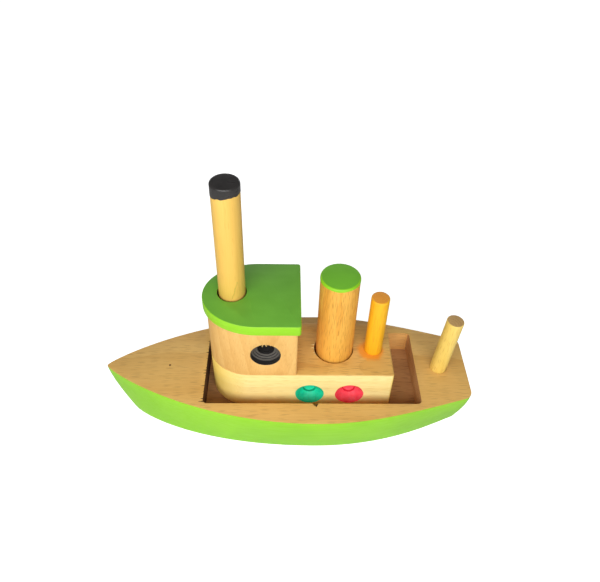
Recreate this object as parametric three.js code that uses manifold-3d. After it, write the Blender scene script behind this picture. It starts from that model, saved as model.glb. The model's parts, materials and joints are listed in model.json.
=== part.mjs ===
// A wooden toy steamboat. A solid hull has a pocket in its deck, and a cabin stands loose in the pocket.
// The mast and the funnel stand loose in bores in the cabin, and two thin pegs are glued in place.
// Millimetres: +X to the bow, +Y to port, +Z up, origin on the floor under the middle of the hull.
import * as THREE from "three";
import { mergeVertices } from "three/addons/utils/BufferGeometryUtils.js";
import Module from "manifold-3d";

// Cabin base: its length is what stands on it, from the bow aft
const CABIN_WIDTH = 38;
const CABIN_NOSE = 22; // depth of the rounded front
const BASE_HEIGHT = 27;
const WHEELHOUSE_LENGTH = 46.4;
const WHEELHOUSE_HEIGHT = 35;
const FUNNEL_SETBACK = 20.3; // wheelhouse to the funnel's axis
const PEG_SPACING = 21.6; // funnel's axis to the orange peg's
const PEG_INSET = 9.7; // orange peg's axis to the cabin's stern face

// Roof
const ROOF_THICKNESS = 6;
const ROOF_NOSE = 28;
const ROOF_SIDE_OVERHANG = 4.1;
const ROOF_FRONT_OVERHANG = 1.8;
const ROOF_STERN_OVERHANG = 1.4;

// Mast, funnel and pegs: each shows so much above its seat, and its bore leaves so much wood below
const MAST_DIAMETER = 13.5;
const MAST_SHOWING = 65;
const MAST_SETBACK = 13.1; // cabin's front to the mast's axis
const MAST_OFFSET = -1.5; // cabin's middle line to the mast's axis, which was drilled off centre
const MAST_FLOOR = 9;
const MAST_CLEARANCE = 0.4;
const FUNNEL_DIAMETER = 20;
const FUNNEL_SHOWING = 53;
const FUNNEL_FLOOR = 9;
const FUNNEL_CLEARANCE = 0.65;
const ORANGE_PEG_DIAMETER = 9.6;
const ORANGE_PEG_SHOWING = 39;
const ORANGE_PEG_FLOOR = 12;
const STERN_PEG_DIAMETER = 9.2;
const STERN_PEG_SHOWING = 37.6;
const STERN_PEG_SEAT = 14;
const STERN_PEG_INSET = 15.3; // transom to the peg's axis at the deck
const STERN_PEG_RAKE = THREE.MathUtils.degToRad(4);
const GLUE_GAP = 0.2;
const EDGE_ROUNDING = 1.2;

// Painted dots and porthole, countersunk at 90 degrees round a pilot hole, the same on both sides
const SINK_DIAMETER = 15.5;
const PILOT_DEPTH = 1.5; // below the cone
const DOT_PILOT = 6;
const DOT_HEIGHT = 11; // above the cabin's foot
const DOT_SPACING = 21.6;
const DOT_INSET = 22.8; // aft dot to the cabin's stern face
const PORTHOLE_PILOT = 8.2;
const PORTHOLE_HEIGHT = 16; // above the wheelhouse's foot
const PORTHOLE_INSET = 16.2; // porthole to the wheelhouse's stern face

// Pocket: the cabin with room round it, nearer to the starboard wall as it lies
const POCKET_DEPTH = 14;
const POCKET_CORNER = 2.4;
const CABIN_FRONT_GAP = 3.4;
const CABIN_SIDE_GAP = 6.4;
const CABIN_AFT_GAP = 15.4;
const CABIN_SIDE_SHIFT = -2.1;

// Hull: the pocket with decks round it, in plan at the deck and at the bottom
const HULL_HEIGHT = 36.5;
const BOW_DECK = 55;
const STERN_DECK = 28.2;
const SIDE_DECK = 12.8;
const BOTTOM_INSET = 10.2; // each side at the widest
const BEAM_STATION = 116; // bow to the widest point
const BOW_BLUNTNESS = 3.2;
const DECK_FULLNESS = 7; // how far the deck's shoulder is carried ahead of the pocket
const BOTTOM_FULLNESS = 12.4;
const STEM_RAKE = 9.8;
const TRANSOM_NARROWING = 4.7; // each side, from the pocket's width
const TRANSOM_FOOT = 14.8;
const TRANSOM_RAKE = 1;
const DECK_QUARTER = { aft: 23, run: 40, spread: 12.5 };
const BOTTOM_QUARTER = { aft: 43.8, run: 10.3, spread: 3.7 };
const SIDE_ROUNDNESS = 1.4; // 1 is a straight flare, more keeps the upper side steeper
const SIDE_LEVELS = 5;
const SIDE_STEPS = 14; // points along each of the two curves of a side

// How finely round forms are stepped, and how solids are cut
const ROUND_SIDES = 40;
const ROUNDING_STEPS = 4;
const NOSE_STEPS = 24;
const CORNER_STEPS = 6;
const CUT_MARGIN = 1; // how far a cutter stands out of the wood
const MERGE_DISTANCE = 1e-3;

// Each piece's main colour and how matt it is
const FINISHES = {
  hull: { color: 0x8fd43c, roughness: 0.45 },
  stern_peg: { color: 0xe3c48a, roughness: 0.6 },
  cabin_base: { color: 0xe6c891, roughness: 0.6 },
  wheelhouse: { color: 0xe0b98a, roughness: 0.6 },
  roof: { color: 0x7cc52c, roughness: 0.45 },
  mast: { color: 0xe2bd78, roughness: 0.55 },
  funnel: { color: 0xd9a05a, roughness: 0.55 },
  orange_peg: { color: 0xf2a01e, roughness: 0.45 },
};

const cabinLength = WHEELHOUSE_LENGTH + FUNNEL_SETBACK + PEG_SPACING + PEG_INSET;
const pocketLength = CABIN_AFT_GAP + cabinLength + CABIN_FRONT_GAP;
const pocketWidth = CABIN_WIDTH + 2 * CABIN_SIDE_GAP;
const hullLength = STERN_DECK + pocketLength + BOW_DECK;
const halfBeam = pocketWidth / 2 + SIDE_DECK;
const pocketAft = STERN_DECK - hullLength / 2;
const pocketFloor = HULL_HEIGHT - POCKET_DEPTH;

// Solids for cutting

const wasm = await Module();
wasm.setup();

function toSolid(geometry) {
  const bare = geometry.clone();
  bare.deleteAttribute("normal");
  bare.deleteAttribute("uv");
  const merged = mergeVertices(bare, MERGE_DISTANCE);
  return new wasm.Manifold(
    new wasm.Mesh({
      numProp: 3,
      vertProperties: merged.attributes.position.array,
      triVerts: new Uint32Array(merged.index.array),
    }),
  );
}

function toGeometry(solid) {
  const mesh = solid.getMesh();
  const geometry = new THREE.BufferGeometry();
  geometry.setAttribute("position", new THREE.BufferAttribute(mesh.vertProperties, 3));
  geometry.setIndex(new THREE.BufferAttribute(mesh.triVerts, 1));
  geometry.computeVertexNormals();
  return geometry;
}

function cut(geometry, cutters) {
  const rest = cutters.reduce((solid, cutter) => solid.subtract(toSolid(cutter)), toSolid(geometry));
  return toGeometry(rest);
}

// Forms

function piece(name, geometry) {
  const material = new THREE.MeshStandardMaterial({ ...FINISHES[name], metalness: 0 });
  const mesh = new THREE.Mesh(geometry, material);
  mesh.name = name;
  return mesh;
}

// A board with a square stern at x = 0 and an elliptic nose at x = length.
function noseBoard(length, width, nose, thickness) {
  const shape = new THREE.Shape();
  shape.moveTo(0, width / 2);
  shape.lineTo(0, -width / 2);
  shape.absellipse(length - nose, 0, nose, width / 2, -Math.PI / 2, Math.PI / 2, false);
  shape.closePath();
  const settings = { depth: thickness, bevelEnabled: false, curveSegments: NOSE_STEPS };
  return new THREE.ExtrudeGeometry(shape, settings);
}

// A turned rod that stands on z = 0, with a rounded upper edge.
function rod(diameter, length) {
  const radius = diameter / 2;
  const rounding = Math.min(EDGE_ROUNDING, radius / 2);
  const profile = [new THREE.Vector2(0, 0), new THREE.Vector2(radius, 0)];
  for (let i = 0; i <= ROUNDING_STEPS; i++) {
    const angle = ((Math.PI / 2) * i) / ROUNDING_STEPS;
    const x = radius - rounding + rounding * Math.cos(angle);
    const y = length - rounding + rounding * Math.sin(angle);
    profile.push(new THREE.Vector2(x, y));
  }
  profile.push(new THREE.Vector2(0, length));
  return new THREE.LatheGeometry(profile, ROUND_SIDES).rotateX(Math.PI / 2);
}

// A cutter for an upright bore whose floor is at z = 0.
function bore(diameter, depth) {
  const height = depth + CUT_MARGIN;
  const cylinder = new THREE.CylinderGeometry(diameter / 2, diameter / 2, height, ROUND_SIDES);
  return cylinder.rotateX(Math.PI / 2).translate(0, 0, height / 2);
}

// Cutters for a countersunk hole in both sides of the cabin.
function sinks(pilot, x, z) {
  const rim = SINK_DIAMETER / 2;
  const hole = pilot / 2;
  const profile = [
    new THREE.Vector2(0, hole - rim - PILOT_DEPTH),
    new THREE.Vector2(hole, hole - rim - PILOT_DEPTH),
    new THREE.Vector2(hole, hole - rim),
    new THREE.Vector2(rim + CUT_MARGIN, CUT_MARGIN),
    new THREE.Vector2(0, CUT_MARGIN),
  ];
  const port = new THREE.LatheGeometry(profile, ROUND_SIDES).translate(0, CABIN_WIDTH / 2, 0);
  const starboard = port.clone().rotateZ(Math.PI);
  return [port, starboard].map((cutter) => cutter.translate(x, 0, z));
}

// Hull

// One side of an outline, from the stem to the stern corner, as points along and across the ship.
function sideLine(stem, beam, shoulder, transom, quarter) {
  const bow = hullLength / 2;
  const widest = bow - BEAM_STATION;
  const fore = new THREE.CubicBezierCurve(
    new THREE.Vector2(stem, 0),
    new THREE.Vector2(stem, BOW_BLUNTNESS),
    new THREE.Vector2(shoulder, beam),
    new THREE.Vector2(widest, beam),
  );
  const aft = new THREE.CubicBezierCurve(
    new THREE.Vector2(widest, beam),
    new THREE.Vector2(widest - quarter.aft, beam),
    new THREE.Vector2(transom.x + quarter.run, transom.y + quarter.spread),
    transom,
  );
  return [...fore.getPoints(SIDE_STEPS), ...aft.getPoints(SIDE_STEPS).slice(1)];
}

function hullForm() {
  const bow = hullLength / 2;
  const deck = sideLine(
    bow,
    halfBeam,
    bow - BOW_DECK + DECK_FULLNESS,
    new THREE.Vector2(-bow, pocketWidth / 2 - TRANSOM_NARROWING),
    DECK_QUARTER,
  );
  const bottom = sideLine(
    bow - STEM_RAKE,
    halfBeam - BOTTOM_INSET,
    bow - BOW_DECK + BOTTOM_FULLNESS,
    new THREE.Vector2(-bow + TRANSOM_RAKE, TRANSOM_FOOT / 2),
    BOTTOM_QUARTER,
  );
  const rings = [];
  for (let level = 0; level <= SIDE_LEVELS; level++) {
    const down = level / SIDE_LEVELS;
    const port = deck.map((point, i) => point.clone().lerp(bottom[i], down ** SIDE_ROUNDNESS));
    const starboard = port.slice(1).map((point) => new THREE.Vector2(point.x, -point.y));
    rings.push([...port, ...starboard.reverse()]);
  }
  return loft(rings, (level) => HULL_HEIGHT * (1 - level / SIDE_LEVELS));
}

// Closed rings, highest first, joined by sides and closed by flat caps.
function loft(rings, heightOf) {
  const count = rings[0].length;
  const positions = rings.flatMap((ring, level) => ring.flatMap((p) => [p.x, p.y, heightOf(level)]));
  const faces = [];
  for (let level = 0; level + 1 < rings.length; level++) {
    for (let i = 0; i < count; i++) {
      const next = (i + 1) % count;
      const upper = level * count;
      const lower = upper + count;
      faces.push(lower + i, lower + next, upper + next);
      faces.push(lower + i, upper + next, upper + i);
    }
  }
  const last = (rings.length - 1) * count;
  for (const [a, b, c] of THREE.ShapeUtils.triangulateShape(rings[0], [])) {
    faces.push(a, b, c);
  }
  for (const [a, b, c] of THREE.ShapeUtils.triangulateShape(rings.at(-1), [])) {
    faces.push(last + a, last + c, last + b);
  }
  const geometry = new THREE.BufferGeometry();
  geometry.setAttribute("position", new THREE.Float32BufferAttribute(positions, 3));
  geometry.setIndex(faces);
  return geometry;
}

function pocketCutter() {
  const shape = new THREE.Shape();
  const x = pocketLength / 2 - POCKET_CORNER;
  const y = pocketWidth / 2 - POCKET_CORNER;
  const corners = [
    [x, y],
    [-x, y],
    [-x, -y],
    [x, -y],
  ];
  corners.forEach(([cx, cy], i) => {
    const start = (i * Math.PI) / 2;
    shape.absarc(cx, cy, POCKET_CORNER, start, start + Math.PI / 2, false);
  });
  shape.closePath();
  const settings = { depth: POCKET_DEPTH + CUT_MARGIN, bevelEnabled: false, curveSegments: CORNER_STEPS };
  const geometry = new THREE.ExtrudeGeometry(shape, settings);
  return geometry.translate(pocketAft + pocketLength / 2, 0, pocketFloor);
}

// The stern peg's own frame: on the deck, leaning aft.
function placeSternPeg(object) {
  object.position.set(STERN_PEG_INSET - hullLength / 2, 0, HULL_HEIGHT);
  object.rotation.y = -STERN_PEG_RAKE;
  object.updateMatrix();
  return object;
}

function makeHull() {
  const seat = bore(STERN_PEG_DIAMETER + 2 * GLUE_GAP, STERN_PEG_SEAT + GLUE_GAP);
  seat.translate(0, 0, -STERN_PEG_SEAT - GLUE_GAP);
  seat.applyMatrix4(placeSternPeg(new THREE.Object3D()).matrix);
  return piece("hull", cut(hullForm(), [pocketCutter(), seat]));
}

function makeSternPeg() {
  const form = rod(STERN_PEG_DIAMETER, STERN_PEG_SEAT + STERN_PEG_SHOWING).translate(0, 0, -STERN_PEG_SEAT);
  return placeSternPeg(piece("stern_peg", form));
}

// Cabin, in a frame of its own: x = 0 at its stern face, z = 0 at its foot

const wheelhouseStern = cabinLength - WHEELHOUSE_LENGTH;
const roofFoot = BASE_HEIGHT + WHEELHOUSE_HEIGHT;
const mastX = cabinLength - MAST_SETBACK;
const funnelX = wheelhouseStern - FUNNEL_SETBACK;
const mastBore = MAST_DIAMETER + 2 * MAST_CLEARANCE;
const mastSeat = WHEELHOUSE_HEIGHT - MAST_FLOOR;
const funnelSeat = BASE_HEIGHT - FUNNEL_FLOOR;
const orangePegSeat = BASE_HEIGHT - ORANGE_PEG_FLOOR;

function makeCabinBase() {
  const form = noseBoard(cabinLength, CABIN_WIDTH, CABIN_NOSE, BASE_HEIGHT);
  const cutters = [
    bore(FUNNEL_DIAMETER + 2 * FUNNEL_CLEARANCE, funnelSeat).translate(funnelX, 0, FUNNEL_FLOOR),
    bore(ORANGE_PEG_DIAMETER + 2 * GLUE_GAP, orangePegSeat).translate(PEG_INSET, 0, ORANGE_PEG_FLOOR),
    ...sinks(DOT_PILOT, DOT_INSET, DOT_HEIGHT),
    ...sinks(DOT_PILOT, DOT_INSET + DOT_SPACING, DOT_HEIGHT),
  ];
  return piece("cabin_base", cut(form, cutters));
}

function makeWheelhouse() {
  const form = noseBoard(WHEELHOUSE_LENGTH, CABIN_WIDTH, CABIN_NOSE, WHEELHOUSE_HEIGHT);
  const cutters = [
    bore(mastBore, mastSeat).translate(WHEELHOUSE_LENGTH - MAST_SETBACK, MAST_OFFSET, MAST_FLOOR),
    ...sinks(PORTHOLE_PILOT, PORTHOLE_INSET, PORTHOLE_HEIGHT),
  ];
  const wheelhouse = piece("wheelhouse", cut(form, cutters));
  wheelhouse.position.set(wheelhouseStern, 0, BASE_HEIGHT);
  return wheelhouse;
}

function makeRoof() {
  const length = ROOF_STERN_OVERHANG + WHEELHOUSE_LENGTH + ROOF_FRONT_OVERHANG;
  const width = CABIN_WIDTH + 2 * ROOF_SIDE_OVERHANG;
  const form = noseBoard(length, width, ROOF_NOSE, ROOF_THICKNESS);
  const hole = bore(mastBore, ROOF_THICKNESS + CUT_MARGIN);
  hole.translate(length - ROOF_FRONT_OVERHANG - MAST_SETBACK, MAST_OFFSET, -CUT_MARGIN);
  const roof = piece("roof", cut(form, [hole]));
  roof.position.set(wheelhouseStern - ROOF_STERN_OVERHANG, 0, roofFoot);
  return roof;
}

function makeMast() {
  const mast = piece("mast", rod(MAST_DIAMETER, mastSeat + ROOF_THICKNESS + MAST_SHOWING));
  mast.position.set(mastX, MAST_OFFSET, BASE_HEIGHT + MAST_FLOOR);
  return mast;
}

function makeFunnel() {
  const funnel = piece("funnel", rod(FUNNEL_DIAMETER, funnelSeat + FUNNEL_SHOWING));
  funnel.position.set(funnelX, 0, FUNNEL_FLOOR);
  return funnel;
}

function makeOrangePeg() {
  const form = rod(ORANGE_PEG_DIAMETER, orangePegSeat + ORANGE_PEG_SHOWING);
  const peg = piece("orange_peg", form);
  peg.position.set(PEG_INSET, 0, ORANGE_PEG_FLOOR);
  return peg;
}

const cabin = new THREE.Group();
cabin.position.set(pocketAft + CABIN_AFT_GAP, CABIN_SIDE_SHIFT, pocketFloor);
cabin.add(makeCabinBase(), makeWheelhouse(), makeRoof(), makeMast(), makeFunnel(), makeOrangePeg());

const boat = new THREE.Group();
boat.add(makeHull(), makeSternPeg(), cabin);

export default boat;
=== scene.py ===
# %% [markdown]
# # A wooden toy steamboat
# The real boat is eight pieces of beech and dowel: a hull with a pocket in its deck, a cabin of three
# blocks that stands loose in the pocket, a mast and a funnel that pull out of their holes, and two thin
# pegs that are glued in. The solids of all eight are loaded first and stay as a fixed frame. Each piece is
# then modelled afresh in the place of its solid, with the rounded edges, drilled holes, chips and paint
# that the plain solid lacks.

# %% Load the frame
import json
from itertools import pairwise
from math import atan2, cos, hypot, pi, radians, sin, sqrt
from random import Random

import bmesh
import bpy
from mathutils import Matrix, Vector, noise
from mathutils.geometry import interpolate_bezier


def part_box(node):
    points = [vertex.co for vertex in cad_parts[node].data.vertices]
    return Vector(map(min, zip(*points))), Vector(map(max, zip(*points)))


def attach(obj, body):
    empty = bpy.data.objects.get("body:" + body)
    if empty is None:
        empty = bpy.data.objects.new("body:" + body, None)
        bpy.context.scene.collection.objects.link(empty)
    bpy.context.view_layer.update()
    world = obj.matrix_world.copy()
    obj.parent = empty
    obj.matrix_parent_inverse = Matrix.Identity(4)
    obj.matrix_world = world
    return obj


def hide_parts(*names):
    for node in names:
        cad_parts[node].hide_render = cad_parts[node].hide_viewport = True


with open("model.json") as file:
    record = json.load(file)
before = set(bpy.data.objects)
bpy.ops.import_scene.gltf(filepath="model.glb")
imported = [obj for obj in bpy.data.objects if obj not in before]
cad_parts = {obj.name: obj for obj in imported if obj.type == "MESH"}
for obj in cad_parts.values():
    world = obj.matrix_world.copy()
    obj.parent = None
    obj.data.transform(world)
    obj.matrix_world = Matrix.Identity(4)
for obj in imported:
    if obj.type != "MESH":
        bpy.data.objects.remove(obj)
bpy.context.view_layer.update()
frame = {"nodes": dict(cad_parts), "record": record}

MM = 0.001  # lengths below are written in millimetres, and Blender works in metres
TOUCH = 1e-6  # metres within which two points are one
print("frame:", sorted(frame["nodes"]))

# %% [markdown]
# ## The camera
# The photograph was taken from the port side, from well above the boat and quite close. A lens is easier to
# copy than to guess: the focal length in pixels, divided by the picture's width, gives the lens for any
# sensor. Three turns then set the direction: down to the boat, a little aside, and a slight roll.

# %% Camera
PHOTO_WIDTH = 600
FOCAL_PIXELS = 610.4
SENSOR_WIDTH = 36
NEAREST = 10  # nothing closer to the lens is drawn
EYE = Vector((2.5, 218.4, 302.5)) * MM
LOOK_DOWN = radians(43.57)
LOOK_ASIDE = radians(-2.11)
ROLL = radians(1.96)


def let_go():
    """Deselects everything, because an operator acts on all that is selected."""
    bpy.ops.object.select_all(action="DESELECT")


let_go()
bpy.ops.object.camera_add(location=EYE)
camera = bpy.context.object
from_port = Matrix.Rotation(pi + LOOK_ASIDE, 3, "Z")
tilted = Matrix.Rotation(pi / 2 - LOOK_DOWN, 3, "X")
camera.rotation_euler = (from_port @ tilted @ Matrix.Rotation(ROLL, 3, "Z")).to_euler()
camera.data.sensor_width = SENSOR_WIDTH
camera.data.lens = SENSOR_WIDTH * FOCAL_PIXELS / PHOTO_WIDTH
camera.data.clip_start = NEAREST * MM
bpy.context.scene.camera = camera
bpy.context.scene.view_settings.view_transform = "Standard"
print("lens in mm:", round(camera.data.lens, 1))

# %% [markdown]
# ## Colours and nodes
# Colours are written as they are seen on a screen, in sRGB hex. Shaders add and multiply light, which only
# works on linear numbers, so one function turns a hex colour into those. A second small function adds any
# node and gives back one of its outputs: an input that is itself an output of another node is linked, and
# any other input is set as a plain value.

# %% Colour and node functions
def linear(hex_colour):
    """An sRGB hex colour as linear red, green, blue and alpha, by the standard's own formula."""
    shown = [int(hex_colour[i : i + 2], 16) / 255 for i in (1, 3, 5)]
    light = [c / 12.92 if c <= 0.04045 else ((c + 0.055) / 1.055) ** 2.4 for c in shown]
    return (*light, 1.0)


def add(tree, kind, out, settings=(), inputs=()):
    """Adds a node with its settings and inputs, and returns the output named by out."""
    node = tree.nodes.new(kind)
    for name, value in dict(settings).items():
        setattr(node, name, value)
    for name, value in dict(inputs).items():
        named = [s for s in node.inputs if s.enabled and s.name == name]
        socket = named[0] if named else node.inputs[name]
        if isinstance(value, bpy.types.NodeSocket):
            tree.links.new(value, socket)
        else:
            socket.default_value = value
    return next((s for s in node.outputs if s.enabled and s.name == out), None)


def new_material(name):
    """An empty material, and the tree that its nodes go into."""
    material = bpy.data.materials.new(name)
    material.use_nodes = True
    material.node_tree.nodes.clear()
    return material, material.node_tree


print("black, middle grey and white:", [round(linear(h)[0], 3) for h in ("#000000", "#808080", "#FFFFFF")])

# %% [markdown]
# ## The figure of wood
# All the bare wood is cut from solid stuff, so its figure has to run through the block: along the sides as
# lines, and across the ends as arcs. A picture laid on the faces would not do that, but a pattern worked out
# at each point in space does. Growth rings are a wave in rings round the grain. Broad bands and fine streaks
# are noise that is stretched along the grain. Every size is in millimetres of real wood. The streaks of real
# beech are finer than a pixel here, so they are drawn about twice as coarse.

# %% Figure of the wood
BAND = (70, 9)  # length along the grain and width across it
STREAK = (18, 0.5)
STREAK_DETAIL = 3.0
WAVE_LENGTH = pi / 10  # from ring to ring in the wave texture's own units
RING_WOBBLE = {"Distortion": 3.2, "Detail Scale": 0.35}
RING_SHARE = 0.3  # rings and streaks are added to the bands in these shares
STREAK_SHARE = 0.9


def stretched(tree, place, length, width):
    """Scales a place so that a mark of this length and width in millimetres measures 1 by 1."""
    scale = (1 / (length * MM), 1 / (width * MM), 1 / (width * MM))
    return add(tree, "ShaderNodeVectorMath", "Vector", {"operation": "MULTIPLY"}, {0: place, 1: scale})


def growth(tree, grain, ring):
    """Broad bands, growth rings this far apart and fine streaks, added up to one number."""
    kind = {"wave_type": "RINGS", "rings_direction": "X", "wave_profile": "SAW"}
    wave = {"Vector": grain, "Scale": WAVE_LENGTH / (ring * MM), **RING_WOBBLE}
    rings = add(tree, "ShaderNodeTexWave", "Fac", kind, wave)
    broad = {"Vector": stretched(tree, grain, *BAND), "Scale": 1.0}
    bands = add(tree, "ShaderNodeTexNoise", "Fac", {}, broad)
    fine = {"Vector": stretched(tree, grain, *STREAK), "Scale": 1.0, "Detail": STREAK_DETAIL}
    streaks = add(tree, "ShaderNodeTexNoise", "Fac", {}, fine)
    plus = {"operation": "MULTIPLY_ADD"}
    ringed = add(tree, "ShaderNodeMath", "Value", plus, {0: rings, 1: RING_SHARE, 2: bands})
    return add(tree, "ShaderNodeMath", "Value", plus, {0: streaks, 1: STREAK_SHARE, 2: ringed})


print("bands and streaks in mm:", BAND, STREAK)

# %% [markdown]
# ## The colour of wood
# Beech is known by its flecks, short dark dashes a few millimetres long. They could be drawn one by one, but
# there are hundreds. Voronoi cells stretched along the grain give a dash in the middle of each cell, and the
# random colour that each cell carries picks the cells that keep theirs. The figure mixes a pale and a deep
# shade, and the flecks go on top.

# %% Colour of the wood
ALONG_SHIP = (0, 0, 0)  # a turn of the grain
FIGURE = {"From Min": 0.75, "From Max": 1.45}  # the range that bands, rings and streaks add up to
FLECK_CROWD = 0.62  # cells to each length and width of a fleck
FLECK_FADE = {"From Min": 0.36, "From Max": 0.2}  # from a cell's middle, where a dash starts and is full
BEECH = {
    "grain": ALONG_SHIP,
    "pith": (0, 14, -60),
    "ring": 5.5,
    "fleck_size": (5, 0.2),
    "fleck_share": 0.6,
    "roughness": 0.5,
}


def flecks(tree, grain, size, share):
    """A mask of dashes of this length and width, in this share of the cells."""
    crowd = {"Vector": stretched(tree, grain, *size), "Scale": FLECK_CROWD}
    cell = add(tree, "ShaderNodeTexVoronoi", "Distance", {}, crowd)
    dash = add(tree, "ShaderNodeMapRange", "Result", {}, {"Value": cell, **FLECK_FADE})
    lot = add(tree, "ShaderNodeSeparateColor", "Red", {}, {"Color": cell.node.outputs["Color"]})
    kept = add(tree, "ShaderNodeMath", "Value", {"operation": "LESS_THAN"}, {0: lot, 1: share})
    return add(tree, "ShaderNodeMath", "Value", {"operation": "MULTIPLY"}, {0: dash, 1: kept})


def wood_colour(tree, pale, deep, fleck, look):
    """Nodes for solid wood. Returns the sockets of its colour and of its figure."""
    here = add(tree, "ShaderNodeTexCoord", "Object")
    placed = {"Vector": here, "Rotation": look["grain"], "Location": Vector(look["pith"]) * MM}
    grain = add(tree, "ShaderNodeMapping", "Vector", {"vector_type": "TEXTURE"}, placed)
    figure = growth(tree, grain, look["ring"])
    depth = add(tree, "ShaderNodeMapRange", "Result", {}, {"Value": figure, **FIGURE})
    shades = {"Factor": depth, "A": linear(pale), "B": linear(deep)}
    plain = add(tree, "ShaderNodeMix", "Result", {"data_type": "RGBA"}, shades)
    dashes = flecks(tree, grain, look["fleck_size"], look["fleck_share"])
    shades = {"Factor": dashes, "A": plain, "B": linear(fleck)}
    return add(tree, "ShaderNodeMix", "Result", {"data_type": "RGBA"}, shades), figure


print("flecks in mm:", BEECH["fleck_size"])

# %% [markdown]
# ## The finish of wood
# The wood was sanded and given a thin clear coat, or left raw inside the holes. Either way the grain still
# stands up a little. Modelling that would take millions of faces, so the figure also drives a bump of less
# than a tenth of a millimetre and a small change of gloss.

# %% Finish of the wood
WOOD_IOR = 1.5
GRAIN_STRENGTH = 0.3
GRAIN_HEIGHT = 0.08
GLOSSIER = 0.06  # how much less rough the palest figure is, and how much rougher the deepest
DULLER = 0.08


def show(tree, surface):
    """Ends a material with a Principled shader that has these inputs."""
    shader = add(tree, "ShaderNodeBsdfPrincipled", "BSDF", {}, surface)
    add(tree, "ShaderNodeOutputMaterial", None, {}, {"Surface": shader})


def finish_wood(tree, colour, figure, roughness):
    """Gives wood its gloss and its faint relief."""
    ends = {"To Min": roughness - GLOSSIER, "To Max": roughness + DULLER}
    gloss = add(tree, "ShaderNodeMapRange", "Result", {}, {"Value": figure, **FIGURE, **ends})
    ridges = {"Height": figure, "Strength": GRAIN_STRENGTH, "Distance": GRAIN_HEIGHT * MM}
    relief = add(tree, "ShaderNodeBump", "Normal", {"invert": True}, ridges)
    show(tree, {"Base Color": colour, "Roughness": gloss, "Normal": relief, "IOR": WOOD_IOR})


def wood(name, pale, deep, fleck, **changes):
    """A bare wood with its pale and deep colour, the colour of its flecks and its changes from beech."""
    material, tree = new_material(name)
    look = {**BEECH, **changes}
    colour, figure = wood_colour(tree, pale, deep, fleck, look)
    finish_wood(tree, colour, figure, look["roughness"])
    print("wood:", name)
    return material


print("relief of the grain in mm:", GRAIN_HEIGHT)

# %% [markdown]
# ## The woods of this boat
# The hull is beech with its grain along the ship, in five states: coated, freshly sanded and raw, a dull
# brown for dust and painted shade, and a near black that is painted shade.
# The wheelhouse is a pinker beech that stands on end, the funnel a beech dowel with strong flecks, and the
# mast and the stern peg are a paler, plainer dowel. End grain drinks more of any coat or stain, so the ends
# of the pegs are darker. All of them are one function with other colours and another turn of the grain.

# %% Woods of the hull
# Golden, with short brown dashes under a thin coat.
deck_beech = wood("clear coated beech", "#EEC373", "#DCAA59", "#C4954F")
# The coat is sanded off, which leaves a pale, bright line along an edge.
edge_beech = wood("freshly sanded edge", "#F8DE9A", "#F0CE84", "#DDB46C")
# Matt and a little redder, as the cutter left it.
pocket_beech = wood("raw milled beech", "#F0BC70", "#DEA45A", "#AE7A44", roughness=0.7)
# A dull brown: dust on raw wood, and painted shade on the pocket's floor and aft wall and inside the holes.
dusty_shaded_beech = wood("dusty raw beech", "#CA9864", "#B48250", "#8A5E38", roughness=0.75)
# A near black brown, painted shade inside the splinters, the chip, the holes and on the pocket's fore wall.
near_black_shade_beech = wood("grimy torn grain", "#5A3C26", "#452D1B", "#352113", roughness=0.8)

# %% Woods of the cabin and the dowels
UPRIGHT = (0, pi / 2, 0)
UPRIGHT_ASKEW = (0, pi / 2 - radians(9), pi / 2)
WHEELHOUSE_LOOK = {"grain": UPRIGHT_ASKEW, "pith": (10, 30, 60), "ring": 6, "fleck_share": 0.1}
FUNNEL_LOOK = {"grain": UPRIGHT, "pith": (-25, 20, 0), "ring": 6, "fleck_share": 0.9}
MAST_LOOK = {"grain": UPRIGHT, "pith": (40, 30, 0), "fleck_share": 0.08}
STERN_LOOK = {"grain": UPRIGHT, "pith": (-70, 8, 0)}
STERN_END_LOOK = {"grain": UPRIGHT, "pith": (-84, 3, 0), "ring": 1.6}
ORANGE_LOOK = {"grain": UPRIGHT, "pith": (-50, 12, 0)}
ORANGE_END_LOOK = {"grain": UPRIGHT, "pith": (-44, 1, 0)}

# Pinkish, with upright bands that lean a little and hardly a fleck.
wheelhouse_beech = wood("pinkish beech on end", "#F2C578", "#E3AE60", "#D49C54", **WHEELHOUSE_LOOK)
# Deep gold, crowded with brown dashes.
funnel_beech = wood("flecked beech dowel", "#F8C056", "#E8A33C", "#C27C2C", **FUNNEL_LOOK)
# An even, plain yellow.
mast_wood = wood("pale dowel", "#F8CB66", "#F1C058", "#E6B24E", **MAST_LOOK)
# Dirt in a drying crack gives a thin olive line.
crack_wood = wood("olive crack", "#DCC458", "#CCB44C", "#B89E40", grain=UPRIGHT)
# The palest of the dowels, with a few dashes.
stern_peg_wood = wood("pale thin dowel", "#FADA76", "#EFCC62", "#D8AE50", **STERN_LOOK)
# Close rings across a brown end.
end_grain = wood("dark end grain", "#DDB676", "#B88F58", "#8A683E", **STERN_END_LOOK)
# A clear orange through which the grain still shows.
orange_stain = wood("orange stained dowel", "#FFC41E", "#F8B418", "#F0A416", **ORANGE_LOOK)
# The same stain, browner where the end drank it.
orange_end = wood("orange stained end grain", "#FFAF3E", "#F6A034", "#DE8828", **ORANGE_END_LOOK)

# %% [markdown]
# ## Paint
# The green is a brushed nursery enamel, satin and a little uneven. One flat colour would look like plastic,
# so two close greens are mixed by soft clouds, and long shallow brush marks catch the light. The dots, the
# porthole and the tip of the mast were dipped or dabbed with a thicker enamel, which has a slow ripple in
# place of brush marks.

# %% Paint function
ENAMEL_IOR = 1.48
BRUSH_SHARE = 0.4  # how much the brush marks add to the clouds
MIXED = {"From Min": 0.5, "From Max": 0.95}  # the range that clouds and marks add up to
BRUSHED = {"From Min": 0.3, "From Max": 0.7}  # the range of the marks alone
SMOOTHER = 0.04  # how much less rough a mark is in its middle, and how much rougher at its side
ROUGHER = 0.05
RIPPLE_STRENGTH = 0.4


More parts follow.
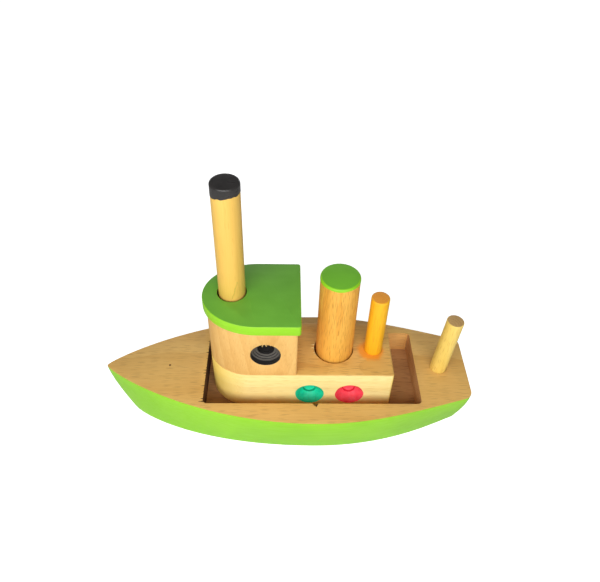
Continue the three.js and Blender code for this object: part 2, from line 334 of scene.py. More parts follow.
def paint(name, colour, shade, roughness, cloud, mark, ripple=0.1):
    """A paint of two close colours, with clouds of this size and marks of this length and width."""
    material, tree = new_material(name)
    place = add(tree, "ShaderNodeTexCoord", "Object")
    clouds = add(tree, "ShaderNodeTexNoise", "Fac", {}, {"Vector": place, "Scale": 1 / (cloud * MM)})
    drawn = {"Vector": stretched(tree, place, *mark), "Scale": 1.0}
    brush = add(tree, "ShaderNodeTexNoise", "Fac", {}, drawn)
    summed = {0: brush, 1: BRUSH_SHARE, 2: clouds}
    film = add(tree, "ShaderNodeMath", "Value", {"operation": "MULTIPLY_ADD"}, summed)
    amount = add(tree, "ShaderNodeMapRange", "Result", {}, {"Value": film, **MIXED})
    shades = {"Factor": amount, "A": linear(colour), "B": linear(shade)}
    tint = add(tree, "ShaderNodeMix", "Result", {"data_type": "RGBA"}, shades)
    waves = {"Height": film, "Strength": RIPPLE_STRENGTH, "Distance": ripple * MM}
    relief = add(tree, "ShaderNodeBump", "Normal", {}, waves)
    ends = {"To Min": roughness - SMOOTHER, "To Max": roughness + ROUGHER}
    gloss = add(tree, "ShaderNodeMapRange", "Result", {}, {"Value": brush, **BRUSHED, **ends})
    show(tree, {"Base Color": tint, "Roughness": gloss, "Normal": relief, "IOR": ENAMEL_IOR})
    print("paint:", name)
    return material


print("enamel's index of refraction:", ENAMEL_IOR)

# %% Paint materials
# A bright yellowish green, brushed along the ship.
side_green = paint("thin lime green enamel", "#9BDE24", "#90D41C", 0.42, cloud=22, mark=(40, 1.2))
# A deeper, duller green with short, wide marks: painted shade on tops, which get less light than upright
# faces.
shaded_top_green = paint("thick green enamel", "#74BC3E", "#6CB237", 0.5, cloud=14, mark=(18, 6))
# The funnel's top in the same deeper green of painted shade, a little brighter than the roof's.
shaded_funnel_top_green = paint("thick green enamel on end grain", "#7CCB36", "#74C030", 0.5, cloud=14, mark=(18, 6))
# A warm black that shines where it turns.
black_paint = paint("black gloss enamel", "#2C2A29", "#363332", 0.3, cloud=4, mark=(6, 2))
# The same black, lighter grey as a painted highlight on the porthole's treads.
tread_highlight_black = paint("worn black enamel", "#524D46", "#5C5750", 0.3, cloud=3, mark=(4, 2))
# A sea green with the ripple of a dab.
teal_paint = paint("teal gloss enamel", "#0ADEB0", "#08CC9C", 0.55, cloud=1.6, mark=(3, 2), ripple=0.4)
# A pinkish red with the same ripple, rougher.
red_paint = paint("red gloss enamel", "#FF566A", "#FF465A", 0.55, cloud=1.4, mark=(2, 2), ripple=0.5)
# Both in a darker, glossier enamel, painted shade on the wall of a dot's small hole.
teal_pool_shade = paint("pooled teal enamel", "#049C76", "#048A68", 0.35, cloud=1.6, mark=(3, 2), ripple=0.4)
red_pool_shade = paint("pooled red enamel", "#D62C40", "#C4243A", 0.35, cloud=1.4, mark=(2, 2), ripple=0.5)

# %% [markdown]
# ## The hull's two outlines
# The hull is one block of beech, sawn and sanded: pointed at the bow, fullest a little aft of the middle,
# narrower at the transom and flared all round. Two outlines say it all, one at the deck and one at the
# bottom. They could be traced point by point, but a boatbuilder bends a batten round a few pegs, and a
# Bezier curve is such a batten: one runs from the stem to the widest point, and one from there to the
# transom.

# %% Hull outlines
hull_low, hull_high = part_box("hull")
HULL_LENGTH = (hull_high.x - hull_low.x) / MM
HULL_HEIGHT = hull_high.z / MM
HALF_BEAM = hull_high.y / MM
BEAM_STATION = 116  # bow to the widest point
BOW_BLUNTNESS = 3.2
BOTTOM_INSET = 10.2  # each side at the widest
STEM_RAKE = 9.8
TRANSOM_RAKE = 1
DECK_SHOULDER = 52  # from the middle, where the curve of the bow ends
BOTTOM_SHOULDER = 57.4
TRANSOM_HALF = 20.7
TRANSOM_FOOT_HALF = 7.4
DECK_QUARTER = (23, 40, 12.5)  # how far the curve runs aft, forward and out
BOTTOM_QUARTER = (43.8, 10.3, 3.7)
CURVE_POINTS = 26


def outline(stem, beam, shoulder, transom, transom_half, quarter):
    """A whole outline in millimetres, from the stem round port to the stern and back along starboard."""
    widest = HULL_LENGTH / 2 - BEAM_STATION
    aft, run, spread = quarter
    fore_curve = [(stem, 0, 0), (stem, BOW_BLUNTNESS, 0), (shoulder, beam, 0), (widest, beam, 0)]
    aft_curve = [
        (widest, beam, 0),
        (widest - aft, beam, 0),
        (transom + run, transom_half + spread, 0),
        (transom, transom_half, 0),
    ]
    port = interpolate_bezier(*map(Vector, fore_curve), CURVE_POINTS)
    port += interpolate_bezier(*map(Vector, aft_curve), CURVE_POINTS)[1:]
    starboard = [Vector((point.x, -point.y, 0)) for point in port[:0:-1]]
    return port + starboard


half_length = HULL_LENGTH / 2
deck_line = outline(half_length, HALF_BEAM, DECK_SHOULDER, -half_length, TRANSOM_HALF, DECK_QUARTER)
bottom_line = outline(
    half_length - STEM_RAKE,
    HALF_BEAM - BOTTOM_INSET,
    BOTTOM_SHOULDER,
    TRANSOM_RAKE - half_length,
    TRANSOM_FOOT_HALF,
    BOTTOM_QUARTER,
)
print("points in an outline:", len(deck_line))

# %% [markdown]
# ## Opening and closing a piece
# A script has no mouse, so a few helpers say what a hand would do: select one piece, open it in edit mode
# with all of it selected, and close it again. A new primitive keeps its place and turn apart from its mesh.
# They are moved into the mesh, so that every finished piece sits at the origin, as the solids of the frame
# do. The last helper measures a piece and counts the edges that don't join two faces: solid wood has none.

# %% Open, close and measure
def only(piece):
    """Selects one piece and nothing else."""
    let_go()
    piece.select_set(True)
    bpy.context.view_layer.objects.active = piece


def edit(piece):
    """Opens one piece in edit mode with all of it selected."""
    only(piece)
    bpy.ops.object.mode_set(mode="EDIT")
    bpy.ops.mesh.select_mode(type="VERT")
    bpy.ops.mesh.select_all(action="SELECT")


def close():
    """Leaves edit mode."""
    bpy.ops.object.mode_set(mode="OBJECT")


def settle(name):
    """Names the primitive that was just added and moves its place into its mesh."""
    piece = bpy.context.object
    piece.name = name
    piece.data.name = name
    bpy.ops.object.transform_apply(location=True, rotation=True, scale=True)
    return piece


def face_outwards():
    """In edit mode, selects all of a piece and turns its faces outwards."""
    bpy.ops.mesh.select_all(action="SELECT")
    bpy.ops.mesh.normals_make_consistent(inside=False)


def measure(piece):
    """Prints how many faces and open edges a piece has, and its size."""
    mesh = bmesh.new()
    mesh.from_mesh(piece.data)
    loose = [edge for edge in mesh.edges if len(edge.link_faces) != 2]
    sides = [round(side / MM, 1) for side in piece.dimensions]
    print(piece.name, "faces:", len(mesh.faces), "open edges:", len(loose), "size in mm:", sides)
    mesh.free()


# %% [markdown]
# ## The hull's block
# A box with its corners planed off would do for a plain boat, but here the flare differs all along the side.
# So the start is a filled circle. Its points are moved onto the bottom outline, and its face is extruded
# upwards in levels. At each level the new points move part of the way to the deck's outline, fast at first
# and then slower, which makes the sides a little round.

# %% Hull block
SIDE_ROUNDNESS = 1.4  # 1 is a straight flare
SIDE_LEVELS = 12


def level_ring(level):
    """The outline at a level, 0 at the bottom and 1 at the deck, as points in metres."""
    share = (1 - level) ** SIDE_ROUNDNESS
    height = Vector((0, 0, HULL_HEIGHT * level))
    return [(deck.lerp(foot, share) + height) * MM for deck, foot in zip(deck_line, bottom_line)]


let_go()
bpy.ops.mesh.primitive_circle_add(vertices=len(deck_line), radius=HALF_BEAM * MM, fill_type="NGON")
hull = settle("painted_hull")
ring = level_ring(0)
for vertex, place in zip(hull.data.vertices, ring):
    vertex.co = place
edit(hull)
for step in range(SIDE_LEVELS):
    bpy.ops.mesh.extrude_region_move(TRANSFORM_OT_translate={"value": (0, 0, 0)})
    higher = level_ring((step + 1) / SIDE_LEVELS)
    mesh = bmesh.from_edit_mesh(hull.data)
    for vertex in [v for v in mesh.verts if v.select]:
        nearest = min(range(len(ring)), key=lambda i: (vertex.co - ring[i]).length_squared)
        vertex.co = higher[nearest]
    bmesh.update_edit_mesh(hull.data)
    ring = higher
face_outwards()
close()
measure(hull)

# %% [markdown]
# ## Picking, cutting and softening
# Where a hand would click on edges or faces, a script picks them by a test on their place or direction. A
# shape is cut out with a Boolean modifier, and edges are sanded with a Bevel modifier. Both are applied at
# once, so that the next step meets a plain mesh.

# %% Pick, cut and soften
SHARP = radians(32)  # an edge that turns by more than this is seen as an edge
SANDED_STEPS = 3


def pick(piece, kind, test):
    """In edit mode, selects the EDGE or FACE elements that pass a test, and returns how many there are."""
    bpy.ops.mesh.select_mode(type=kind)
    bpy.ops.mesh.select_all(action="DESELECT")
    mesh = bmesh.from_edit_mesh(piece.data)
    parts = mesh.edges if kind == "EDGE" else mesh.faces
    chosen = [part for part in parts if test(part)]
    for part in chosen:
        part.select_set(True)
    mesh.select_flush_mode()
    bmesh.update_edit_mesh(piece.data)
    return len(chosen)


def upright(edge):
    return abs(edge.verts[0].co.z - edge.verts[1].co.z) > TOUCH


def round_edges(piece, test, radius, steps):
    """In edit mode, rounds the edges that pass a test."""
    pick(piece, "EDGE", test)
    bpy.ops.mesh.bevel(offset=radius * MM, segments=steps, affect="EDGES")


def use_modifier(piece, kind, **settings):
    """Adds a modifier with its settings and applies it."""
    only(piece)
    modifier = piece.modifiers.new(kind.lower(), kind)
    for name, value in settings.items():
        setattr(modifier, name, value)
    bpy.ops.object.modifier_apply(modifier=modifier.name)


def cut(piece, cutter, operation="DIFFERENCE"):
    """Cuts one shape out of a piece, or joins it on, and throws the cutter away."""
    bpy.context.view_layer.update()
    use_modifier(piece, "BOOLEAN", object=cutter, operation=operation, solver="EXACT")
    bpy.data.objects.remove(cutter)


def soften(piece, radius):
    """Rounds every sharp edge of a piece a little, as sanding does."""
    sanded = {"width": radius * MM, "segments": SANDED_STEPS}
    use_modifier(piece, "BEVEL", limit_method="ANGLE", angle_limit=SHARP, **sanded)


print("edges of the hull to pick from:", len(hull.data.edges))

# %% [markdown]
# ## Stern corners and pocket
# The stern corners are sanded round, and the pocket is milled into the deck with a round cutter, so its
# corners are round too. Pushing a part of the deck down would make a pocket with sharp corners. Here a box
# with rounded upright edges is cut out instead. It is as big as the cabin with room round it.

# %% Hull pocket
base_low, base_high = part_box("cabin_base")
STERN_CORNER = 3.6
STERN_STEPS = 5
TRANSOM_ZONE = 1.5  # the stern's corners lie this near to its end
POCKET_CUTTER_TOP = 14  # how far the cutter stands above the deck
POCKET_CORNER = 2.4
POCKET_STEPS = 8
ROOM_AHEAD = 3.4
ROOM_BESIDE = 6.4
ROOM_ASTERN = 15.4
DECK_EDGE = 0.6

cabin_half = (base_high.y - base_low.y) / 2
pocket_low = Vector((base_low.x - ROOM_ASTERN * MM, -cabin_half - ROOM_BESIDE * MM, base_low.z))
pocket_high = Vector((base_high.x + ROOM_AHEAD * MM, cabin_half + ROOM_BESIDE * MM, hull_high.z))


def at_stern_corner(edge):
    by_transom = (TRANSOM_ZONE - half_length) * MM
    return upright(edge) and all(v.co.x < by_transom for v in edge.verts)


edit(hull)
round_edges(hull, at_stern_corner, STERN_CORNER, STERN_STEPS)
close()

middle = (pocket_low + pocket_high) / 2
over = Vector((0, 0, POCKET_CUTTER_TOP * MM / 2))
let_go()
bpy.ops.mesh.primitive_cube_add(size=1, location=middle + over, scale=pocket_high - pocket_low + 2 * over)
cutter = settle("pocket")
edit(cutter)
round_edges(cutter, upright, POCKET_CORNER, POCKET_STEPS)
close()
cut(hull, cutter)
soften(hull, DECK_EDGE)
measure(hull)

# %% [markdown]
# ## Splinters and a chip
# Small hurts make it a used toy: the grain has splintered along the fore edge of the pocket, and one chip is
# out of the port edge. Paint could fake them, but a cut holds a shadow from every side. They are thin wedges,
# joined to one cutter. No two of them meet, because a Boolean fails on a cutter that runs through itself.

# %% Wedges
WEDGE_SIDES = 4


def wedges(places):
    """One cutter made of small wedges. Each place is a root, a tip and a width."""
    let_go()
    made = []
    for root, tip, width in places:
        way = tip - root
        bpy.ops.mesh.primitive_cone_add(
            vertices=WEDGE_SIDES,
            radius1=width / 2,
            radius2=0,
            depth=way.length,
            location=(root + tip) / 2,
            rotation=way.to_track_quat("Z", "Y").to_euler(),
        )
        made.append(bpy.context.object)
    for wedge in made:
        wedge.select_set(True)
    bpy.context.view_layer.objects.active = made[0]
    bpy.ops.object.join()
    return made[0]


print("a wedge has", WEDGE_SIDES, "sides")

# %% Hull splinters
SPLINTERS = 24
SPLINTER_PLACE = (0.38, 0.62)  # within its own share of the edge
SPLINTER_ROOT = 0.6  # behind the edge
SHORTEST = 0.3
LONGER = 2.6  # what the longest splinter adds to the shortest
SPLINTER_SINK = 0.25
SPLINTER_STRAY = 0.3
SPLINTER_WIDTH = (0.7, 1.5)
CHIP_X = -15.1
CHIP_ROOT = Vector((0.4, -1.2, 0)) * MM  # from the pocket's edge
CHIP_TIP = Vector((-0.3, 2.3, 0)) * MM
CHIP_WIDTH = 5

dice = Random(7)
deck_z = hull_high.z
splinters = []
for i in range(SPLINTERS):
    share = (i + dice.uniform(*SPLINTER_PLACE)) / SPLINTERS
    across = pocket_low.y + share * (pocket_high.y - pocket_low.y)
    reach = (SHORTEST + LONGER * dice.random() ** 2) * MM
    sunk = dice.uniform(0, SPLINTER_SINK) * MM
    stray = dice.uniform(-SPLINTER_STRAY, SPLINTER_STRAY) * MM
    root = Vector((pocket_high.x - SPLINTER_ROOT * MM, across, deck_z - sunk))
    tip = Vector((pocket_high.x + reach, across + stray, deck_z))
    splinters.append((root, tip, dice.uniform(*SPLINTER_WIDTH) * MM))
chip = Vector((CHIP_X * MM, pocket_high.y, deck_z))
splinters.append((chip + CHIP_ROOT, chip + CHIP_TIP, CHIP_WIDTH * MM))
cut(hull, wedges(splinters))
measure(hull)

# %% [markdown]
# ## Holes on the lathe
# A drilled hole is a round shape taken away, so its cutter is turned: a profile of radius and height is
# drawn with extruded points and spun round the Z axis. A cylinder would do for a plain hole, but a profile
# also has room for a rounded lip, a drill's point or a stepped floor. The hull gets a pin hole in its
# foredeck and the seat of the stern peg, which leans aft as the peg does.

# %% Lathe
LATHE_STEPS = 72
LIP_STEPS = 3
CUTTER_TOP = 1  # how far a cutter stands out of the wood


def turn(name, profile):
    """A solid turned round the Z axis from points of radius and height in millimetres, axis to axis."""
    let_go()
    bpy.ops.mesh.primitive_plane_add(size=MM)
    piece = settle(name)
    edit(piece)
    bpy.ops.mesh.merge(type="CENTER")
    bpy.ops.transform.translate(value=(profile[0][0] * MM, 0, profile[0][1] * MM))
    for (radius, height), (next_radius, next_height) in pairwise(profile):
        step = ((next_radius - radius) * MM, 0, (next_height - height) * MM)
        bpy.ops.mesh.extrude_region_move(TRANSFORM_OT_translate={"value": step})
    bpy.ops.mesh.select_all(action="SELECT")
    bpy.ops.mesh.spin(steps=LATHE_STEPS, angle=2 * pi, center=(0, 0, 0), axis=(0, 0, 1))
    bpy.ops.mesh.select_all(action="SELECT")
    bpy.ops.mesh.remove_doubles(threshold=TOUCH)
    face_outwards()
    close()
    return piece


def rounded_mouth(radius, rounding):
    """Profile points for the mouth of a hole at height 0 with a rounded lip."""
    turns = [i * pi / 2 / LIP_STEPS for i in range(LIP_STEPS + 1)]
    lip = [(radius + rounding * (1 - cos(t)), rounding * (sin(t) - 1)) for t in turns]
    return [*lip, (radius + rounding, CUTTER_TOP), (0, CUTTER_TOP)]


def bore(radius, depth, rounding):
    """A cutter for a hole that goes down from the origin."""
    return turn("bore", [(0, -depth), (radius, -depth), *rounded_mouth(radius, rounding)])


print("a turned piece has", LATHE_STEPS, "sides")

# %% Hull holes
PIN_HOLE = Vector((65.4, -0.3, HULL_HEIGHT)) * MM
PIN_RADIUS = 0.6
PIN_WALL = 1.2
PIN_DEPTH = 1.6  # with the drill's point
GLUE_GAP = 0.1
PEG_RAKE = radians(4)
STERN_PEG_RADIUS = 4.6
STERN_PEG_SEAT = 14
STERN_PEG_INSET = 15.3  # transom to the peg's axis at the deck
STERN_PEG_LIP = 0.15

shaft = [(PIN_RADIUS, -PIN_WALL), (PIN_RADIUS, CUTTER_TOP)]
hole = turn("pin_hole", [(0, -PIN_DEPTH), *shaft, (0, CUTTER_TOP)])
hole.location = PIN_HOLE
cut(hull, hole)

peg_foot = Vector((STERN_PEG_INSET * MM - half_length * MM, 0, deck_z))
seat = bore(STERN_PEG_RADIUS + GLUE_GAP, STERN_PEG_SEAT + GLUE_GAP, STERN_PEG_LIP)
seat.location = peg_foot
seat.rotation_euler = (0, -PEG_RAKE, 0)
cut(hull, seat)
measure(hull)

# %% [markdown]
# ## Painting by face
# One material with masks could hold every finish of a piece, but each face of this toy has one finish only.
# So each finish is a material of its own, and faces get theirs by where they lie and which way they look. A
# piece is then shaded smooth, except at edges that are still sharp.

# %% Paint by face
UP = 0.9  # a face whose normal rises more than this is a top


def coat_index(piece, material):
    """The place of a material in a piece's list, which it joins if it is new."""
    if material.name not in piece.data.materials:
        piece.data.materials.append(material)
    return piece.data.materials.find(material.name)


def paint_faces(piece, material, test):
    """Gives the faces that pass a test this material, and returns how many there are."""
    coat = coat_index(piece, material)
    edit(piece)
    count = pick(piece, "FACE", test)
    piece.active_material_index = coat
    bpy.ops.object.material_slot_assign()
    close()
    return count


def looks_up(face):
    return face.normal.z > UP


def shade(piece):
    """Shades a piece smooth, but keeps its sharp edges."""
    only(piece)
    bpy.ops.object.shade_smooth_by_angle(angle=SHARP)


print("materials to paint with:", len(bpy.data.materials))

# %% [markdown]
# ## The hull's finishes
# The sides and the transom are painted. The deck was sanded clean afterwards, so the paint stops just under
# the deck's edge, and the edge itself is pale. The pocket and the flat bottom are bare: the pocket's side
# walls are raw, and its floor and aft wall are a dull brown, for dust and for painted shade. Its fore wall,
# the splinters, the chip and the pin hole are a near black, which is painted shade.

# %% Hull tests
LEVEL = 0.72  # a face whose normal rises or falls more than this is deck or bottom
WALL = 0.7  # a wall looks along the ship or across it by more than this
EDGE_SLOPE = (0.5, 0.99)
ASKEW = 0.2
SKIN = 0.02  # a face less deep than this belongs to the surface
HURT_REACH = 3  # splinters and the chip lie this near to the pocket, and this deep
HURT_DEPTH = 2.5
PIN_REACH = 2


def on_hull_side(face):
    """Tells whether a face of the hull looks outwards and is no part of a splinter at the pocket's edge."""
    spot = face.calc_center_median()
    outwards = face.normal.y * spot.y > 0 or spot.x < (STERN_CORNER - half_length) * MM
    margin = HURT_REACH * MM
    along = pocket_low.x - margin < spot.x < pocket_high.x + margin
    at_pocket = along and abs(spot.y) < pocket_high.y + margin and spot.z > deck_z - HURT_DEPTH * MM
    return outwards and abs(face.normal.z) < LEVEL and not at_pocket


def in_pocket(face):
    spot = face.calc_center_bounds()
    along = pocket_low.x - TOUCH < spot.x < pocket_high.x + TOUCH
    sunk = pocket_low.z - TOUCH < spot.z < deck_z - DECK_EDGE * MM
    return along and sunk and abs(spot.y) < pocket_high.y + TOUCH


# The pocket's floor and end walls get the dull brown: dust, and painted shade.
def dusty_or_shaded(face):
    return in_pocket(face) and abs(face.normal.y) < WALL


def on_deck_edge(face):
    spot = face.calc_center_median()
    sloped = EDGE_SLOPE[0] < face.normal.z < EDGE_SLOPE[1]
    return sloped and face.normal.y * spot.y > 0 and deck_z - DECK_EDGE * MM < spot.z < deck_z - TOUCH


def gets_painted_shade(face):
    """Tells whether a face gets painted shade: the pocket's fore wall, or a face in a splinter, the chip or
    the pin hole.
    """
    spot = face.calc_center_median()
    reach = HURT_REACH * MM
    below = deck_z - HURT_DEPTH * MM < spot.z < deck_z - SKIN * MM
    at_fore_edge = 0 < spot.x - pocket_high.x < reach and abs(spot.y) < pocket_high.y
    at_chip = abs(spot.x - chip.x) < reach and 0 < spot.y - chip.y < reach
    splintered = at_fore_edge and abs(face.normal.y) > ASKEW or at_chip and abs(face.normal.x) > ASKEW
    shaded_fore_wall = in_pocket(face) and face.normal.x < -WALL
    return shaded_fore_wall or below and (splintered or (spot - PIN_HOLE).length < PIN_REACH * MM)


print("faces of the hull to paint:", len(hull.data.polygons))

# %% Hull paint
hull.data.materials.append(deck_beech)
hull_finishes = {
    side_green: on_hull_side,
    pocket_beech: in_pocket,
    # The dull brown is dust and painted shade, and the near black is painted shade.
    dusty_shaded_beech: dusty_or_shaded,
    edge_beech: on_deck_edge,
    near_black_shade_beech: gets_painted_shade,
}
for material, test in hull_finishes.items():
    print(material.name, "faces:", paint_faces(hull, material, test))
shade(hull)

# %% [markdown]
# ## Dowels
# The mast, the funnel and the two thin pegs are lengths of dowel. Each is a many-sided cylinder with its
# upper edge sanded round and its foot chamfered. A dipped end could be a cap of its own, but paint is a film
# on the wood. So the dowel gets two loops of edges at the paint's edge, which are moved up and down in a
# wave, and everything above them swells by the film.

# %% Dowel helpers
DOWEL_SIDES = 96
TOP_STEPS = 5
FOOT_CHAMFER = 0.6
FOOT_STEPS = 2
PAINT_FILM = 0.12


def dowel(name, radius, length, rounding, material):
    """A dowel of this wood that stands on the origin, in millimetres."""
    let_go()
    size = {"radius": radius * MM, "depth": length * MM, "location": (0, 0, length / 2 * MM)}
    bpy.ops.mesh.primitive_cylinder_add(vertices=DOWEL_SIDES, end_fill_type="NGON", **size)
    piece = settle(name)
    edit(piece)
    top = length * MM - TOUCH
    round_edges(piece, lambda edge: all(v.co.z > top for v in edge.verts), rounding, TOP_STEPS)
    round_edges(piece, lambda edge: all(v.co.z < TOUCH for v in edge.verts), FOOT_CHAMFER, FOOT_STEPS)
    close()
    piece.data.materials.append(material)
    return piece


def place(piece, location, rake=0.0):
    """Moves a finished piece to its place, and the place into its mesh."""
    only(piece)
    piece.location = location
    piece.rotation_euler = (0, -rake, 0)
    bpy.ops.object.transform_apply(location=True, rotation=True, scale=True)


def dip(piece, enamel, radius, height, waves):
    """Paints the end of a dowel above a wavy edge. Each wave is an amplitude, a count and a phase."""
    coat = coat_index(piece, enamel)
    edit(piece)
    for level in (height - PAINT_FILM, height):
        bpy.ops.mesh.select_all(action="SELECT")
        bpy.ops.mesh.bisect(plane_co=(0, 0, level * MM), plane_no=(0, 0, 1), threshold=TOUCH)
    mesh = bmesh.from_edit_mesh(piece.data)
    swell = 1 + PAINT_FILM / radius
    for vertex in mesh.verts:
        above = vertex.co.z > (height - PAINT_FILM / 2) * MM
        on_edge = (height - 2 * PAINT_FILM) * MM < vertex.co.z < (height + PAINT_FILM) * MM
        if on_edge:
            angle = atan2(vertex.co.y, vertex.co.x)
            vertex.co.z += sum(size * sin(count * angle + phase) for size, count, phase in waves) * MM
        if above:
            vertex.co.x *= swell
            vertex.co.y *= swell
    lowest = height - 2 * PAINT_FILM - sum(size for size, _, _ in waves)
    for face in mesh.faces:
        if face.calc_center_median().z > height * MM or min(v.co.z for v in face.verts) > lowest * MM:
            face.material_index = coat
    bmesh.update_edit_mesh(piece.data)
    close()


print("a dowel has", DOWEL_SIDES, "sides")

# %% [markdown]
# ## Mast
# The mast is a pale dowel with its tip dipped in black. It stands loose in its hole, so it lies a little off
# the middle of it. A dip by hand has no level edge: one wave tilts it, and smaller and shorter ones make it
# ragged.

# %% Mast
MAST_TIP = 5.4  # length of the black dip
MAST_ROUNDING = 1.2
MAST_LIES = Vector((-0.1, -0.45, 0)) * MM
TIP_WAVES = [(0.9, 1, -pi / 2), (0.36, 2, -pi / 2), (0.14, 7, 0.6), (0.1, 11, 2.0), (0.07, 17, 1.0)]

mast_low, mast_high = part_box("mast")
mast_radius = (mast_high.x - mast_low.x) / 2 / MM
mast_length = (mast_high.z - mast_low.z) / MM
mast_axis = (mast_low + mast_high) / 2
mast = dowel("dipped_mast", mast_radius, mast_length, MAST_ROUNDING, mast_wood)
dip(mast, black_paint, mast_radius, mast_length - MAST_TIP, TIP_WAVES)
mast_foot = Vector((mast_axis.x, mast_axis.y, mast_low.z)) + MAST_LIES
place(mast, mast_foot)
measure(mast)

# %% [markdown]
# A drying crack runs up the port side of the mast, just above the roof. A drawn line would lie on the wood,
# so it is cut: a thin blade is subdivided, waved and wrapped round the dowel, and taken away from it.

# %% Mast crack
CRACK_FOOT = Vector((27.7, 0, 91.3)) * MM
CRACK_TOP = Vector((24.9, 0, 101.9)) * MM
CRACK_WIDTH = 0.4
CRACK_DEPTH = 0.3
CRACK_CUTS = 6
CRACK_WAVE = 0.18
CRACK_TURN = 1.3  # radians of the wave to each millimetre
CRACK_ENDS = 0.5  # how far its faces may lie past its ends
MAST_SKIN = 0.1

middle = (CRACK_FOOT + CRACK_TOP) / 2 + Vector((0, mast_foot.y + mast_radius * MM, 0))
lean = atan2(CRACK_TOP.x - CRACK_FOOT.x, CRACK_TOP.z - CRACK_FOOT.z)
size = (CRACK_WIDTH * MM, 2 * CRACK_DEPTH * MM, (CRACK_TOP - CRACK_FOOT).length)
let_go()
bpy.ops.mesh.primitive_cube_add(size=1, location=middle, rotation=(0, lean, 0), scale=size)
blade = settle("crack")
edit(blade)
bpy.ops.mesh.subdivide(number_cuts=CRACK_CUTS)
close()
for vertex in blade.data.vertices:
    vertex.co.x += CRACK_WAVE * MM * sin(vertex.co.z / MM * CRACK_TURN)
    offset = (vertex.co.x - mast_foot.x) / (mast_radius * MM)
    vertex.co.y -= mast_radius * MM * (1 - sqrt(1 - offset**2))
cut(mast, blade)


def in_crack(face):
    spot = face.calc_center_median()
    beside = CRACK_FOOT.z - CRACK_ENDS * MM < spot.z < CRACK_TOP.z + CRACK_ENDS * MM
    return beside and hypot(spot.x - mast_foot.x, spot.y - mast_foot.y) < (mast_radius - MAST_SKIN) * MM


print("crack faces:", paint_faces(mast, crack_wood, in_crack))
measure(mast)
shade(mast)

# %% [markdown]
# ## Funnel
# The funnel is a thicker dowel of flecked beech, loose in its hole like the mast. Its top is painted lime
# green, and the brush went over the edge and left a narrow band. The top has a deeper green of its own, which
# is painted shade: a top gets less light than the band.

# %% Funnel
FUNNEL_BAND = 1.7
FUNNEL_ROUNDING = 1.0
FUNNEL_LIES = Vector((-0.3, -0.35, 0)) * MM
BAND_WAVES = [(0.3, 1, -0.3), (0.12, 3, 0.3), (0.08, 6, 2.0)]

funnel_low, funnel_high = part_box("funnel")
funnel_radius = (funnel_high.x - funnel_low.x) / 2 / MM
funnel_length = (funnel_high.z - funnel_low.z) / MM
funnel_axis = (funnel_low + funnel_high) / 2
funnel = dowel("green_topped_funnel", funnel_radius, funnel_length, FUNNEL_ROUNDING, funnel_beech)
dip(funnel, side_green, funnel_radius, funnel_length - FUNNEL_BAND, BAND_WAVES)
# The top gets the deeper green of painted shade.
paint_faces(funnel, shaded_funnel_top_green, looks_up)
place(funnel, Vector((funnel_axis.x, funnel_axis.y, funnel_low.z)) + FUNNEL_LIES)
measure(funnel)
shade(funnel)

# %% [markdown]
# ## The two thin pegs
# Both pegs are glued in. The one on the cabin was stained orange, and the one in the stern is plain and leans
# aft. They differ only in size, wood and lean, so one function makes both, with a second wood for the end.

# %% Pegs
ORANGE_ROUNDING = 0.7
STERN_PEG_ROUNDING = 0.5
STERN_PEG_SHOWING = 37.6


def peg(name, size, woods, foot, rake=0.0):
    """A peg from its radius, length and rounding, and the woods of its side and end."""
    side, end = woods
    piece = dowel(name, *size, side)
    paint_faces(piece, end, looks_up)
    place(piece, foot, rake)
    measure(piece)
    shade(piece)
    return piece


orange_low, orange_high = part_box("orange_peg")
orange_radius = (orange_high.x - orange_low.x) / 2 / MM
orange_axis = (orange_low + orange_high) / 2
orange_foot = (orange_axis.x, orange_axis.y, orange_low.z)
orange_size = (orange_radius, (orange_high.z - orange_low.z) / MM, ORANGE_ROUNDING)
orange_peg = peg("stained_peg", orange_size, (orange_stain, orange_end), orange_foot)

seat_foot = peg_foot + Vector((sin(PEG_RAKE), 0, -cos(PEG_RAKE))) * STERN_PEG_SEAT * MM
stern_size = (STERN_PEG_RADIUS, STERN_PEG_SEAT + STERN_PEG_SHOWING, STERN_PEG_ROUNDING)
stern_peg = peg("plain_stern_peg", stern_size, (stern_peg_wood, end_grain), seat_foot, PEG_RAKE)

# %% [markdown]
# ## The cabin's blocks
# The base, the wheelhouse and the roof share one shape: a square stern and an elliptic front. Joining a
# box to half a cylinder would leave a seam. So a cylinder is stretched to the ellipse and cut through the
# middle, and its flat side is drawn out aft.

# %% Round-nosed block
NOSE_SIDES = 128
STERN_EDGE = 1.3
STERN_EDGE_STEPS = 4
AFT = -0.99  # a face whose normal points aft more than this is the flat side


def nose_block(name, low, high, nose):
    """A block that fills a box, with an elliptic front of this depth in millimetres."""
    half_width = (high.y - low.y) / 2
    middle = (low + high) / 2
    start = Vector((high.x - nose * MM, middle.y, middle.z))
    size = {"radius": half_width, "depth": high.z - low.z, "location": start}
    let_go()
    bpy.ops.mesh.primitive_cylinder_add(vertices=NOSE_SIDES, end_fill_type="NGON", **size)
    piece = settle(name)
    edit(piece)
    bpy.ops.transform.resize(value=(nose * MM / half_width, 1, 1), center_override=start)
    bpy.ops.mesh.bisect(plane_co=start, plane_no=(1, 0, 0), use_fill=True, clear_inner=True, threshold=TOUCH)
    pick(piece, "FACE", lambda face: face.normal.x < AFT)
    bpy.ops.mesh.extrude_region_move(TRANSFORM_OT_translate={"value": (low.x - start.x, 0, 0)})
    face_outwards()

    def at_stern(edge):
        return upright(edge) and all(v.co.x < low.x + TOUCH for v in edge.verts)

    round_edges(piece, at_stern, STERN_EDGE, STERN_EDGE_STEPS)
    close()
    return piece


print("a nose has", NOSE_SIDES // 2, "facets")

